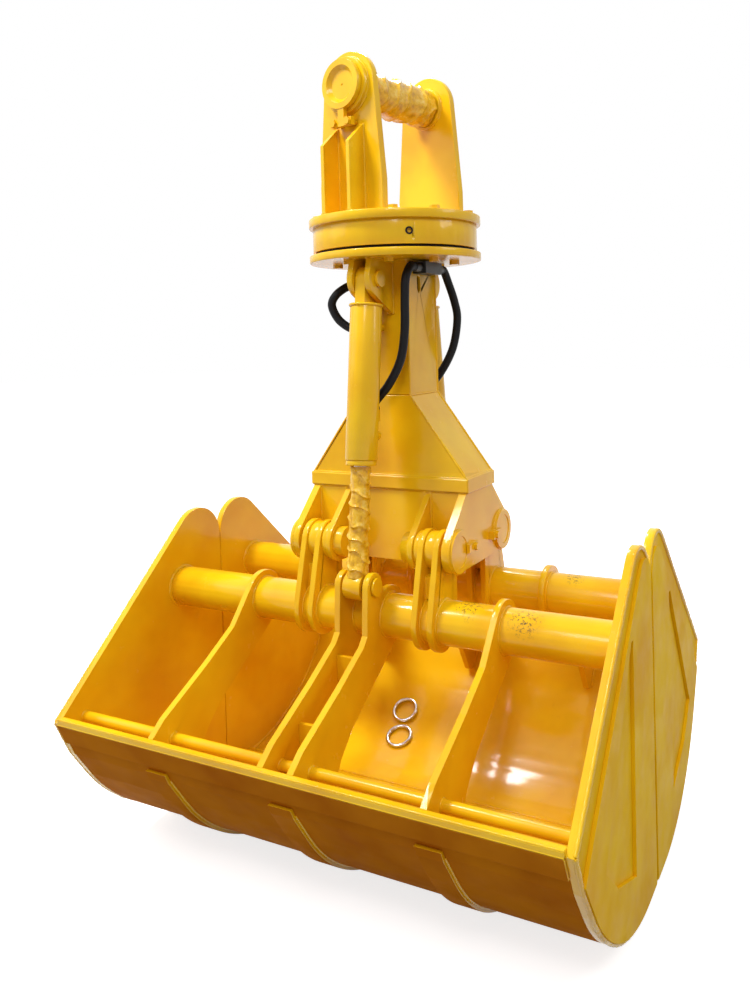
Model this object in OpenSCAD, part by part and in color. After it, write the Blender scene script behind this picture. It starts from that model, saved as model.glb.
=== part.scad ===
// Clamshell bucket that hangs from an arm pin on a slewing ring, with one cylinder to each jaw.
// X runs along the jaws, Y is the way they open, and Z is up. The origin is the middle of the arm pin.
// The front jaw lies on the -Y side. The back jaw is its mirror image.

/* [Hanger] */
// Radius of the arm pin
arm_pin_r = 40; // [34:1:46]
// Clear gap between the two hanger ears
ear_gap = 290; // [250:1:310]
// Thickness of a hanger ear
ear_t = 20; // [14:1:26]
// Half width of an ear at its foot
ear_half_w = 107; // [95:1:120]
// Height of the upright foot of an ear
ear_foot_h = 78; // [50:1:110]
// Radius of the round top of an ear
ear_top_r = 85; // [78:1:95]
// Height of the pin axis above the hanger's base plate
pin_rise = 320; // [280:1:380]
// Radius of the boss welded on the outside of each ear
boss_r = 70; // [66:1:76]
// Thickness of that boss
boss_t = 14; // [8:1:20]
// Radius of the collar on the inside of each ear
collar_r = 54; // [50:1:60]
// Thickness of that collar
collar_t = 8; // [4:1:14]
// Radius of the pin's head
pin_head_r = 61; // [56:1:65]
// Thickness of the pin's head
pin_head_t = 16; // [12:1:24]
// Thickness of the upright ribs on the ears
ear_rib_t = 12; // [8:1:18]
// How far those ribs stand out from the ears
ear_rib_d = 54; // [30:1:54]
// Turn of the hanger to the bucket at rest, in degrees
hanger_turn = -12; // [-45:1:45]

/* [Slewing ring] */
// Radius of the base plate and of the lower flange
flange_r = 227; // [222:1:245]
// Thickness of the hanger's base plate
base_t = 23; // [16:1:30]
// Outer radius of the outer race
ring_r = 217; // [210:1:221]
// Height of the outer race
ring_h = 63; // [54:1:80]
// Gap between the outer race and the lower flange
ring_gap = 8; // [5:0.5:12]
// Thickness of the lower flange
flange_t = 20; // [14:1:28]
// Radius of the circle that the balls run on
track_r = 176; // [170:1:180]
// Radius of a ball
ball_r = 10; // [8:0.5:12]
// Radius of the ring's bolts
bolt_r = 8; // [6:0.5:8]
// Radius of the swivel spool in the middle
spool_r = 30; // [24:1:32]

/* [Mast] */
// Half width of the mast's column along X
column_half_x = 75; // [70:1:85]
// Half depth of the mast's column along Y
column_half_y = 79; // [74:1:79]
// Height of the column
column_h = 346; // [330:1:370]
// Wall of the column and of the skirt
mast_wall = 10; // [6:1:12]
// Height of the flared skirt
skirt_h = 208; // [190:1:230]
// Half width of the skirt at its foot
skirt_half_x = 226; // [222:1:236]
// Half depth of the skirt at its foot
skirt_half_y = 80; // [76:1:82]
// Height of the bar that goes round the skirt's foot
band_h = 35; // [25:1:45]
// How far that bar stands out
band_out = 7; // [3:1:10]

/* [Hinges] */
// Distance of a jaw's hinge pin from the middle
hinge_y = 138; // [136:1:144]
// Depth of the hinge pins below the foot of the skirt
hinge_drop = 168; // [160:1:176]
// Radius of a hinge pin
hinge_pin_r = 38; // [30:1:40]
// Radius of the round eyes on the hinge pins
hinge_eye_r = 52; // [48:1:53]
// Thickness of an end plate
end_plate_t = 20; // [14:1:24]
// Thickness of an inner hinge plate
gusset_t = 16; // [10:1:20]
// Thickness of one arm plate
arm_t = 16; // [10:1:18]
// Gap between an inner hinge plate and the arm plate beside it
arm_in_gap = 14; // [8:1:18]
// Gap between an outer arm plate and the end plate
arm_out_gap = 8; // [5:1:12]

/* [Jaws] */
// Half width of the jaws over their side plates
jaw_half_w = 650; // [560:5:750]
// Length of a jaw from the seam to its rim
jaw_reach = 600; // [580:1:620]
// Depth of the bowl below its rim
jaw_depth = 390; // [375:1:405]
// Height of the hinge pins above the rim
hinge_rise = 389; // [380:1:400]
// Height of the steep part below the rim
rim_strip_h = 90; // [82:1:98]
// Height of the band on that steep part
rim_band_h = 53; // [45:1:60]
// Lean of the steep part, in degrees
rim_lean = 25; // [20:1:30]
// Slope of the flat flank of the bowl, in degrees
flank_angle = 56; // [54:0.5:58]
// Length of the flat keel beside the seam
keel_l = 80; // [70:1:90]
// Radius of the round top of a side plate
tip_r = 90; // [80:1:100]
// Height of the middle of that round top above the rim
tip_rise = 340; // [330:1:350]
// Gap between the two jaws when they are shut
seam_gap = 4; // [2:0.5:8]
// Thickness of the bowl's sheet
sheet_t = 12; // [8:1:14]
// Thickness of a side plate
side_t = 16; // [10:1:22]
// Thickness of the frame on the outside of a side plate
overlay_t = 8; // [5:1:12]
// Thickness of the cutting edge
edge_t = 25; // [18:1:32]
// Width of the cutting edge
edge_w = 100; // [80:1:120]
// Thickness of the bars at the rim
rim_bar_t = 12; // [8:1:14]
// Thickness of a wear strap
strap_t = 9; // [6:1:12]
// Width of a wear strap
strap_w = 60; // [40:1:80]

/* [Ribs and tube] */
// Outer radius of the cross tube
tube_r = 54; // [50:1:56]
// Wall of the cross tube
tube_wall = 9; // [6:1:12]
// Distance of the cross tube from the seam
tube_y = 162; // [158:1:166]
// Height of the cross tube above the rim
tube_rise = 222; // [218:1:226]
// Width of the ring of plate round the tube
nose_margin = 18; // [14:1:20]
// Thickness of a rib and of a lever plate
rib_t = 16; // [10:1:18]
// Distance of a single rib from the middle
rib_x = 350; // [300:1:400]
// Half distance between the middles of the two lever plates
lever_x = 39; // [37:1:44]
// Radius of the bar along the rim
spreader_r = 13; // [8:0.5:16]

/* [Cylinders] */
// Outer radius of a barrel
barrel_r = 40; // [37:1:42]
// Bore radius of a barrel
bore_r = 31.5; // [28:0.5:33]
// Distance from the top pin to the shoulder of the barrel
shoulder_d = 66; // [60:1:72]
// Length of the barrel below its shoulder
barrel_l = 384; // [376:1:392]
// Radius of a piston rod
rod_r = 18; // [14:1:20]
// Radius of the pins at both ends of a cylinder
cyl_pin_r = 15; // [12:1:16]
// Distance of the top pin from the middle
top_pin_y = 152; // [148:1:156]
// Depth of the top pin below the lower flange
top_pin_drop = 51; // [50:1:54]
// Distance of the lever pin from the middle
lever_pin_y = 235; // [232:1:238]
// Height of the lever pin above the rim
lever_pin_rise = 310; // [306:1:314]
// Radius of the eyes at the ends of a cylinder
cyl_eye_r = 32; // [30:1:34]

/* [Hidden] */

$fn = 48;
fine_fn = 180;
paint = "#f0a800";
steel = "#9aa0a6";
black = "#202020";

// Overrun of every cut, the play of pins that turn, the play of welded pieces, and flat gaps
over = 2;
pin_play = 0.05;
weld_play = 0.1;
face_play = 0.5;

// Heights, from the pin axis down
base_top_z = -pin_rise;
base_bot_z = base_top_z - base_t;
ring_bot_z = base_bot_z - ring_h;
flange_top_z = ring_bot_z - ring_gap;
flange_bot_z = flange_top_z - flange_t;
kink_z = flange_bot_z - column_h;
skirt_z = kink_z - skirt_h;
band_bot_z = skirt_z - band_h;
hinge_z = skirt_z - hinge_drop;
box_bot_z = hinge_z - hinge_eye_r;
rim_z = hinge_z - hinge_rise;
keel_z = rim_z - jaw_depth;
top_pin_z = flange_bot_z - top_pin_drop;

// Hanger
ear_out_y = ear_gap / 2 + ear_t;
boss_out_y = ear_out_y + boss_t;
head_in_y = boss_out_y + face_play;
head_out_y = head_in_y + pin_head_t;
arm_seat_half = ear_gap / 2 - collar_t - over;
pin_groove_d = 1;
head_recess = 10;
head_recess_r = 47;
head_floor_r = 36;
head_dot_r = 3;
ear_rib_x = 44;
ear_rib_top_z = -100;
ear_rib_slant = 50;
keeper_bar_z = -95;
keeper_bar_half = 35;
keeper_bar_h = 20;
keeper_tab_half = 10;
keeper_t = 13;
keeper_bolt_x = 24;
keeper_bolt_r = 6;
keeper_head_r = 10;
keeper_head_t = 7;

// Slewing ring
race_gap = 3;
groove_r = ball_r + 0.2;
ball_z = base_bot_z - ring_h / 2;
ball_count = 36;
inner_ring_r = track_r - race_gap;
outer_ring_bore = track_r + race_gap;
inner_ring_bore = 141;
inner_ring_top_gap = 8;
ring_bolt_angles = [20, 50, 130, 160, 200, 230, 310, 340];
ring_bolt_r = 203;
ring_bolt_bite = 24;
flange_bolt_count = 8;
flange_bolt_r = 156;
head_h = 1.2 * bolt_r;
head_r = 1.65 * bolt_r;
seal_in_r = 198;
seal_out_r = 210;
plug_r = 6;
plug_depth = 5;
plug_turn = 50;
spool_cap_r = 62;
spool_cap_h = 18;
inlet_x = 40;
inlet_r = 9;
inlet_depth = 14;
housing_r = 48;
housing_h = 120;
flange_hole_r = 34;
oil_groove_r = 4;

// Mast
slot_r = 8;
slot_y = -15;
slot_top_drop = 47;
slot_bot_drop = 73;
box_wall = 12;
gusset_drop = 7;
gusset_share = 0.522;
gusset_x = gusset_share * skirt_half_x;
arm_in_x = gusset_x + gusset_t / 2 + arm_in_gap + arm_t / 2;
arm_out_x = skirt_half_x - end_plate_t - arm_out_gap - arm_t / 2;
boss_ring_t = 8;
pin_end_t = 6;
pin_inner_end = 24;
pin_keeper_t = 8;
pin_keeper_half = 11;
pin_keeper_in = 34;
pin_keeper_out = 88;
pin_keeper_y = -hinge_y + (hinge_eye_r + pin_keeper_out) / 2;

// Bowl: the flat keel, a tangent arc, the flat flank and the steep strip below the rim
half_seam = seam_gap / 2;
strip_foot = [-jaw_reach + rim_strip_h * tan(rim_lean), jaw_depth - rim_strip_h];
flank_n = [sin(flank_angle), cos(flank_angle)];
strip_n = [cos(rim_lean), sin(rim_lean)];
bowl_r = -(flank_n * (strip_foot + [keel_l, 0])) / (1 - cos(flank_angle));
bowl_mid = [-keel_l, bowl_r];
inner_w = jaw_half_w - side_t;

// Places in the side view of the front jaw: Y from the seam, and height above the keel
tube_at = [-tube_y, jaw_depth + tube_rise];
hinge_at = [-hinge_y, jaw_depth + hinge_rise];
lever_at = [-lever_pin_y, jaw_depth + lever_pin_rise];
tip_at = [-half_seam - tip_r, jaw_depth + tip_rise];
overlay_inset = 6;
overlay_tip_r = 55;
overlay_tip_at = [-half_seam - overlay_tip_r - overlay_inset, jaw_depth + tip_rise];
overlay_cut_shares = [[-0.83, 0.987], [-0.937, 0.816]];
overlay_cut = [for (q = overlay_cut_shares) [q[0] * jaw_reach, q[1] * jaw_depth]];
pocket_top_share = [-0.325, 0.735];
pocket_top = [pocket_top_share[0] * jaw_reach, jaw_depth + pocket_top_share[1] * tip_rise];
pocket_top_r = 8;
pocket_foot_shares = [[-0.722, 0.697], [-0.578, 0.495], [-0.333, 0.341]];
pocket_foot = [for (q = pocket_foot_shares) [q[0] * jaw_reach, q[1] * jaw_depth]];
rim_bar_w = 22;
rim_bar_over = 6;
band_t = 8;
spreader_in = 80;
spreader_down = 12;
spreader_at = [-jaw_reach + spreader_in, jaw_depth - spreader_down];
nose_r = tube_r + nose_margin;
rib_outer_shares = [[-0.9117, 0.198], [-0.665, 0.5405], [-0.49, 0.8153]];
rib_outer = concat([[-jaw_reach + rim_bar_t, jaw_depth + rim_bar_t]],
    [for (q = rib_outer_shares) [q[0] * jaw_reach, jaw_depth + q[1] * tube_rise]]);
rib_inner_shares = [[-0.5867, 1.0342], [-0.6733, 0.9026], [-0.7833, 0.6105]];
rib_inner = [for (q = rib_inner_shares) [q[0] * jaw_reach, q[1] * jaw_depth]];
rib_foot_share = 0.526;
rib_foot = [-jaw_reach, rib_foot_share * jaw_depth];
lever_root_out = 64;
lever_root_down = 17;
lever_root = tube_at - [lever_root_out, lever_root_down];
lever_root_r = 50;
lever_eye_r = 34;
lever_plate_shares = [[-0.487, 0.68], [-0.757, 0.24]];
lever_plate_h = 60;
lever_plate_t = 10;
spacer_h = 54;
spacer_d = 60;
lever_pin_half = lever_x + rib_t / 2 + 8;
lever_head_r = 22;
lever_head_t = 6;

// Cylinder: its line at rest aims past the lever pin by part of the play in the rod's eye
eye_play = 5.4;
eye_ahead = [4.9, 1.7];
cyl_dy = lever_pin_y + eye_ahead[0] - top_pin_y;
cyl_dz = top_pin_z - (rim_z + lever_pin_rise - eye_ahead[1]);
cyl_l = norm([cyl_dy, cyl_dz]);
cyl_lean = -atan2(cyl_dy, cyl_dz);
barrel_end = shoulder_d + barrel_l;
cap_t = 26;
gland_t = 14;
gland_in = 30;
piston_t = 32;
piston_d = 250;
rod_eye_half = 24;
lug_half = 14;
clevis_t = 16;
clevis_x = 25;
clevis_eye_r = 45;
clevis_foot_drop = 138;
clevis_top_out = 104;
top_pin_half = 42;
top_head_r = 21;
port_r = 12;
port_out = 22;
stub_l = 24;
stub_r = 7;
ferrule_r = 12;
ferrule_l = 30;
cap_port_d = 112;
rod_port_d = 390;
oil_way_r = 4;
port_y = barrel_r + port_out;

// Hoses and the blocks that they leave
hose_r = 11;
hose_sides = 10;
hose_steps = 2;
hose_tail = 20;
block_half_x = 19;
block_half_y = 46;
block_h = 30;
block_x = column_half_x + block_half_x;
right_tail_drop = 20;
left_tail_drop = 62;
right_tail_z = flange_bot_z - right_tail_drop;
left_tail_z = flange_bot_z - left_tail_drop;
end_gap = 0.3;
cap_start = [-block_x, -block_half_y - ferrule_l, left_tail_z];
rod_start = [block_x, -block_half_y - ferrule_l, right_tail_z];
hose_end_d = port_r + stub_l + ferrule_l + end_gap;
cap_end = at_cylinder([-hose_end_d, port_y, -cap_port_d]);
rod_end = at_cylinder([0, port_y, -rod_port_d + hose_end_d]);
rod_tail = at_cylinder([0, port_y, -rod_port_d + hose_end_d + hose_tail]);
cap_route = concat([cap_start, cap_start - [0, hose_tail, 0]],
    below([[-112, -122, 83], [-124, -126, 110], [-112, -116, 146]]),
    [cap_end - [hose_tail, 0, 0], cap_end]);
front_rod_route = concat([rod_start, rod_start - [0, hose_tail, 0]],
    below([[92, -118, 50], [88, -118, 100], [84, -116, 180], [70, -116, 254], [38, -122, 316]]),
    [rod_tail, rod_end]);
back_rod_route = concat([flip(rod_start), flip(rod_start) + [0, hose_tail, 0]],
    below([[96, 118, 50], [112, 122, 104], [119, 122, 155], [102, 122, 234], [58, 122, 306],
        [12, 124, 344]]),
    [flip(rod_tail), flip(rod_end)]);

function flip(p) = [p[0], -p[1], p[2]];
function below(list) = [for (p = list) [p[0], p[1], flange_bot_z - p[2]]];
function at_cylinder(p) = [p[0],
    -top_pin_y + p[1] * cos(cyl_lean) - p[2] * sin(cyl_lean),
    top_pin_z + p[1] * sin(cyl_lean) + p[2] * cos(cyl_lean)];
function flank_foot(i) =
    bowl_mid - (bowl_r - i) * [sin(flank_angle), cos(flank_angle)];
function strip_corner(i) = strip_foot + i * (flank_n + strip_n) / (1 + flank_n * strip_n);
function rim_corner(i) = [-jaw_reach + i / cos(rim_lean), jaw_depth];
function rim_band_foot(i) = rim_corner(i) + rim_band_h * [tan(rim_lean), -1];
function unit(v) = v / norm(v);

// The point where a line from p touches the circle of radius r at c, to the left of the way to c or not
function touch(p, c, r, left) =
    let(d = norm(c - p), a = atan2(c[1] - p[1], c[0] - p[0]) + (left ? 1 : -1) * asin(r / d))
    p + sqrt(d * d - r * r) * [cos(a), sin(a)];

// Smooth route through the points p, with its direction, and a frame carried along it
function knot(p, i) =
    i < 0 ? 2 * p[0] - p[1] : i >= len(p) ? 2 * p[len(p) - 1] - p[len(p) - 2] : p[i];
function spline_at(a, b, c, d, t) =
    (2 * b + (c - a) * t + (2 * a - 5 * b + 4 * c - d) * t * t + (3 * b - a - 3 * c + d) * t * t * t) / 2;
function spline_way(a, b, c, d, t) =
    unit((c - a) + 2 * (2 * a - 5 * b + 4 * c - d) * t + 3 * (3 * b - a - 3 * c + d) * t * t);
function place(p, s) =
    let(i = min(floor(s / hose_steps), len(p) - 2), t = s / hose_steps - i)
    [spline_at(knot(p, i - 1), knot(p, i), knot(p, i + 1), knot(p, i + 2), t),
        spline_way(knot(p, i - 1), knot(p, i), knot(p, i + 1), knot(p, i + 2), t)];
function carried(ways, i, n) = i == len(ways) ? [] :
    let(v = unit(n - (n * ways[i]) * ways[i])) concat([v], carried(ways, i + 1, v));

module hose(route) {
    n = (len(route) - 1) * hose_steps;
    m = hose_sides;
    spots = [for (s = [0:n]) place(route, s)];
    sides = carried([for (q = spots) q[1]], 0, [0.3, 0.2, 1]);
    color(black) polyhedron(
        points = [for (k = [0:n], j = [0:m - 1]) let(a = 360 * j / m)
            spots[k][0] + hose_r * (cos(a) * sides[k] + sin(a) * cross(spots[k][1], sides[k]))],
        faces = concat([[for (j = [0:m - 1]) j]],
            [[for (j = [0:m - 1]) n * m + m - 1 - j]],
            [for (k = [0:n - 1], j = [0:m - 1]) [k * m + j, (k + 1) * m + j, k * m + (j + 1) % m]],
            [for (k = [0:n - 1], j = [0:m - 1])
                [k * m + (j + 1) % m, (k + 1) * m + j, (k + 1) * m + (j + 1) % m]]));
}

// Placing helpers

// Stands a side view, Y across and Z up, at x with the thickness t about it
module side_view(x, t) {
    translate([x - t / 2, 0, 0]) rotate([90, 0, 90]) linear_extrude(t) children();
}

module in_jaw() {
    translate([0, 0, keel_z]) children();
}

module both_ends() {
    children();
    mirror([1, 0, 0]) children();
}

module both_jaws() {
    children();
    mirror([0, 1, 0]) children();
}

module x_rod(r, x0, x1, y, z) {
    translate([x0, y, z]) rotate([0, 90, 0]) cylinder(r = r, h = x1 - x0);
}

module y_rod(r, y0, y1, x, z) {
    translate([x, y1, z]) rotate([90, 0, 0]) cylinder(r = r, h = y1 - y0);
}

// Two circles and the straight sides that touch both
module strap_2d(a, ra, b, rb) {
    along = atan2(b[1] - a[1], b[0] - a[0]);
    lean = acos((ra - rb) / norm(b - a));
    translate(a) circle(r = ra);
    translate(b) circle(r = rb);
    polygon([a + ra * [cos(along + lean), sin(along + lean)],
        b + rb * [cos(along + lean), sin(along + lean)],
        b + rb * [cos(along - lean), sin(along - lean)],
        a + ra * [cos(along - lean), sin(along - lean)]]);
}

module turned() {
    rotate([0, 0, hanger_turn]) children();
}

module along_cylinder() {
    translate([0, -top_pin_y, top_pin_z]) rotate([cyl_lean, 0, 0]) children();
}

// Hanger

module ear_2d() {
    shoulder = [ear_half_w, base_top_z + ear_foot_h];
    t = touch(shoulder, [0, 0], ear_top_r, false);
    circle(r = ear_top_r);
    polygon([[-ear_half_w, base_top_z], [ear_half_w, base_top_z], shoulder, t,
        [-t[0], t[1]], [-shoulder[0], shoulder[1]]]);
}

module ear() {
    difference() {
        union() {
            translate([0, -ear_gap / 2, 0]) rotate([90, 0, 0]) linear_extrude(ear_t) ear_2d();
            y_rod(boss_r, -boss_out_y, -ear_out_y + over, 0, 0);
            y_rod(collar_r, -ear_gap / 2 - over, -ear_gap / 2 + collar_t, 0, 0);
        }
        y_rod(arm_pin_r + pin_play, -boss_out_y - over, -ear_gap / 2 + collar_t + over, 0, 0);
    }
}

// Only the front ear has the two holes for the keeper's bolts
module hanger_ears() {
    color(paint) turned() {
        difference() {
            ear();
            for (s = [-1, 1])
                y_rod(keeper_bolt_r + weld_play, -ear_out_y - over, -ear_gap / 2 + over,
                    s * keeper_bolt_x, keeper_bar_z);
        }
        mirror([0, 1, 0]) ear();
    }
}

module ear_ribs() {
    color(paint) turned() both_jaws() for (s = [-1, 1]) side_view(s * ear_rib_x, ear_rib_t)
        polygon([[-ear_out_y, base_top_z], [-ear_out_y - ear_rib_d, base_top_z],
            [-ear_out_y - ear_rib_d, ear_rib_top_z - ear_rib_slant], [-ear_out_y, ear_rib_top_z]]);
}

module ring_bolt_places() {
    for (a = ring_bolt_angles) rotate([0, 0, a]) translate([ring_bolt_r, 0, 0]) children();
}

module hanger_base_plate() {
    color(paint) turned() difference() {
        translate([0, 0, base_bot_z]) cylinder(r = flange_r, h = base_t, $fn = fine_fn);
        translate([0, 0, base_bot_z - over]) cylinder(r = spool_r + weld_play, h = base_t + 2 * over);
        ring_bolt_places() translate([0, 0, base_bot_z - over])
            cylinder(r = bolt_r + weld_play, h = base_t + 2 * over);
    }
}

module slewing_outer_ring() {
    color(paint) turned() difference() {
        translate([0, 0, ring_bot_z]) cylinder(r = ring_r, h = ring_h, $fn = fine_fn);
        translate([0, 0, ring_bot_z - over])
            cylinder(r = outer_ring_bore, h = ring_h + 2 * over, $fn = fine_fn);
        translate([0, 0, ball_z]) rotate_extrude($fn = fine_fn) translate([track_r, 0])
            circle(r = groove_r);
        ring_bolt_places() translate([0, 0, base_bot_z - ring_bolt_bite])
            cylinder(r = bolt_r + weld_play, h = ring_bolt_bite + over);
        rotate([0, 0, plug_turn]) y_rod(plug_r, -ring_r - over, -ring_r + plug_depth, 0, ball_z);
    }
}

module ring_bolts() {
    color(paint) turned() ring_bolt_places() {
        translate([0, 0, base_bot_z - ring_bolt_bite + over])
            cylinder(r = bolt_r, h = base_t + ring_bolt_bite);
        translate([0, 0, base_top_z]) cylinder(r = head_r, h = head_h, $fn = 6);
    }
}

// The spool brings the oil from its two inlets to the grooves in its side
module swivel_spool() {
    color(steel) turned() difference() {
        union() {
            translate([0, 0, base_top_z]) cylinder(r = spool_cap_r, h = spool_cap_h);
            translate([0, 0, flange_bot_z - housing_h])
                cylinder(r = spool_r, h = base_top_z - flange_bot_z + housing_h + over);
        }
        for (s = [-1, 1]) translate([s * inlet_x, 0, base_top_z + spool_cap_h - inlet_depth])
            cylinder(r = inlet_r, h = inlet_depth + over);
        for (z = [left_tail_z, right_tail_z]) translate([0, 0, z])
            rotate_extrude() translate([spool_r, 0]) circle(r = oil_groove_r);
    }
}

// Arm pin, drawn out past the front ear, with a narrow groove at each end of the seat between the ears

module arm_pin() {
    color(steel) turned() difference() {
        union() {
            y_rod(arm_pin_r, -head_in_y - over, boss_out_y, 0, 0);
            y_rod(pin_head_r, -head_out_y, -head_in_y, 0, 0);
        }
        both_jaws() difference() {
            y_rod(arm_pin_r + over, -arm_seat_half - over, -arm_seat_half, 0, 0);
            y_rod(arm_pin_r - pin_groove_d, -arm_seat_half - 2 * over, -arm_seat_half + over, 0, 0);
        }
        translate([0, -head_out_y - face_play, 0]) rotate([-90, 0, 0])
            cylinder(r1 = head_recess_r, r2 = head_floor_r, h = head_recess + face_play);
        y_rod(head_dot_r, -head_out_y, -head_out_y + head_recess + over, 0, 0);
    }
}

module arm_pin_keeper() {
    tab_y = -head_out_y + (pin_head_t - keeper_t) / 2;
    color(paint) turned() {
        difference() {
            union() {
                translate([-keeper_tab_half, tab_y, keeper_bar_z])
                    cube([2 * keeper_tab_half, keeper_t, -keeper_bar_z]);
                translate([-keeper_bar_half, tab_y, keeper_bar_z - keeper_bar_h / 2])
                    cube([2 * keeper_bar_half, keeper_t, keeper_bar_h]);
            }
            y_rod(pin_head_r + weld_play, -head_out_y - over, -head_in_y + over, 0, 0);
            for (s = [-1, 1])
                y_rod(keeper_bolt_r + weld_play, tab_y - over, tab_y + keeper_t + over,
                    s * keeper_bolt_x, keeper_bar_z);
        }
        for (s = [-1, 1]) {
            y_rod(keeper_bolt_r, tab_y - over, -ear_gap / 2 - over, s * keeper_bolt_x, keeper_bar_z);
            translate([s * keeper_bolt_x, tab_y, keeper_bar_z]) rotate([90, 0, 0])
                cylinder(r = keeper_head_r, h = keeper_head_t, $fn = 6);
        }
    }
}

// Slewing ring, lower half

module slewing_inner_ring() {
    h = base_bot_z - inner_ring_top_gap - flange_top_z;
    color(steel) difference() {
        translate([0, 0, flange_top_z]) cylinder(r = inner_ring_r, h = h, $fn = fine_fn);
        translate([0, 0, flange_top_z - over])
            cylinder(r = inner_ring_bore, h = h + 2 * over, $fn = fine_fn);
        translate([0, 0, ball_z]) rotate_extrude($fn = fine_fn) translate([track_r, 0])
            circle(r = groove_r);
        flange_bolt_places() translate([0, 0, flange_top_z - over])
            cylinder(r = bolt_r + weld_play, h = ring_bolt_bite + 2 * over);
    }
}

module slewing_balls() {
    color(steel) for (k = [0:ball_count - 1])
        rotate([0, 0, k * 360 / ball_count]) translate([track_r, 0, ball_z]) sphere(r = ball_r);
}

module slewing_seal() {
    color(black) translate([0, 0, flange_top_z]) difference() {
        cylinder(r = seal_out_r, h = ring_gap - face_play, $fn = fine_fn);
        translate([0, 0, -over]) cylinder(r = seal_in_r, h = ring_gap + 2 * over, $fn = fine_fn);
    }
}

module flange_bolt_places() {
    for (k = [0:flange_bolt_count - 1])
        rotate([0, 0, (k + 0.5) * 360 / flange_bolt_count]) translate([flange_bolt_r, 0, 0]) children();
}

module lower_flange() {
    color(paint) difference() {
        translate([0, 0, flange_bot_z]) cylinder(r = flange_r, h = flange_t, $fn = fine_fn);
        translate([0, 0, flange_bot_z - over]) cylinder(r = flange_hole_r, h = flange_t + 2 * over);
        flange_bolt_places() translate([0, 0, flange_bot_z - over])
            cylinder(r = bolt_r + weld_play, h = flange_t + 2 * over);
    }
}

module lower_flange_bolts() {
    color(paint) flange_bolt_places() {
        translate([0, 0, flange_bot_z - over]) cylinder(r = bolt_r, h = flange_t + ring_bolt_bite);
        translate([0, 0, flange_bot_z - head_h]) cylinder(r = head_r, h = head_h, $fn = 6);
    }
}

// Swivel housing inside the mast, with a stub pipe to each hose block
module swivel_housing() {
    color(steel) difference() {
        union() {
            translate([0, 0, flange_bot_z - housing_h]) cylinder(r = housing_r, h = housing_h);
            x_rod(stub_r, spool_r + over, column_half_x, 0, right_tail_z);
            x_rod(stub_r, -column_half_x, -spool_r - over, 0, left_tail_z);
        }
        translate([0, 0, flange_bot_z - housing_h - over])
            cylinder(r = spool_r + pin_play, h = housing_h + 2 * over);
        x_rod(oil_way_r, 0, column_half_x + over, 0, right_tail_z);
        x_rod(oil_way_r, -column_half_x - over, 0, 0, left_tail_z);
    }
}

// Mast

module box_about(half_x, half_y, z0, z1) {
    translate([-half_x, -half_y, z0]) cube([2 * half_x, 2 * half_y, z1 - z0]);
}

module frustum(x0, y0, z0, x1, y1, z1) {
    intersection() {
        rotate([90, 0, 0]) translate([0, 0, -y1]) linear_extrude(2 * y1)
            polygon([[-x1, z1], [x1, z1], [x0, z0], [-x0, z0]]);
        side_view(0, 2 * x1) polygon([[-y1, z1], [y1, z1], [y0, z0], [-y0, z0]]);
    }
}

module mast_column() {
    color(paint) difference() {
        box_about(column_half_x, column_half_y, kink_z, flange_bot_z);
        box_about(column_half_x - mast_wall, column_half_y - mast_wall, kink_z - over,
            flange_bot_z + over);
        x_rod(stub_r + weld_play, 0, column_half_x + over, 0, right_tail_z);
        x_rod(stub_r + weld_play, -column_half_x - over, 0, 0, left_tail_z);
        for (drop = [slot_top_drop, slot_bot_drop])
            x_rod(slot_r, 0, column_half_x + over, slot_y, flange_bot_z - drop);
        translate([0, slot_y - slot_r, flange_bot_z - slot_bot_drop])
            cube([column_half_x + over, 2 * slot_r, slot_bot_drop - slot_top_drop]);
    }
}

module mast_skirt() {
    color(paint) difference() {
        frustum(column_half_x, column_half_y, kink_z, skirt_half_x, skirt_half_y, skirt_z);
        frustum(column_half_x - mast_wall, column_half_y - mast_wall, kink_z + over,
            skirt_half_x - mast_wall, skirt_half_y - mast_wall, skirt_z - over);
    }
    color(paint) difference() {
        box_about(skirt_half_x + band_out, skirt_half_y + band_out, band_bot_z, skirt_z);
        box_about(skirt_half_x, skirt_half_y, band_bot_z - over, skirt_z + over);
    }
}

module hinge_box() {
    half_x = skirt_half_x - end_plate_t;
    color(paint) difference() {
        box_about(half_x, skirt_half_y, box_bot_z, skirt_z);
        box_about(half_x + over, skirt_half_y - box_wall, box_bot_z + box_wall, skirt_z + over);
    }
}

// Side view of a hinge plate: from the box's face at height top out to the round eye
module hinge_plate_2d(top, r) {
    eye = [-hinge_y, hinge_z];
    corner = [-skirt_half_y, top];
    t = touch(corner, eye, r, false);
    translate(eye) circle(r = r);
    polygon([corner, t, eye, eye - [0, r], [-skirt_half_y, hinge_z - r]]);
}

module end_plates() {
    r = hinge_eye_r + over;
    x = skirt_half_x - end_plate_t / 2;
    color(paint) both_ends() difference() {
        union() {
            side_view(x, end_plate_t) union() {
                hinge_plate_2d(band_bot_z, r);
                mirror([1, 0]) hinge_plate_2d(band_bot_z, r);
                translate([-skirt_half_y, hinge_z - r]) square([2 * skirt_half_y, skirt_z - hinge_z + r]);
            }
            both_jaws() x_rod(hinge_eye_r, skirt_half_x - over, skirt_half_x + boss_ring_t,
                -hinge_y, hinge_z);
        }
        both_jaws() x_rod(hinge_pin_r + weld_play, x - end_plate_t, skirt_half_x + 2 * boss_ring_t,
            -hinge_y, hinge_z);
        both_jaws() x_rod(keeper_bolt_r + weld_play, x, skirt_half_x + over, pin_keeper_y, hinge_z);
    }
}

module hinge_gussets() {
    color(paint) both_ends() both_jaws() difference() {
        side_view(gusset_x, gusset_t) hinge_plate_2d(band_bot_z - gusset_drop, hinge_eye_r);
        x_rod(hinge_pin_r + weld_play, gusset_x - gusset_t, gusset_x + gusset_t, -hinge_y, hinge_z);
    }
}

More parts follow.
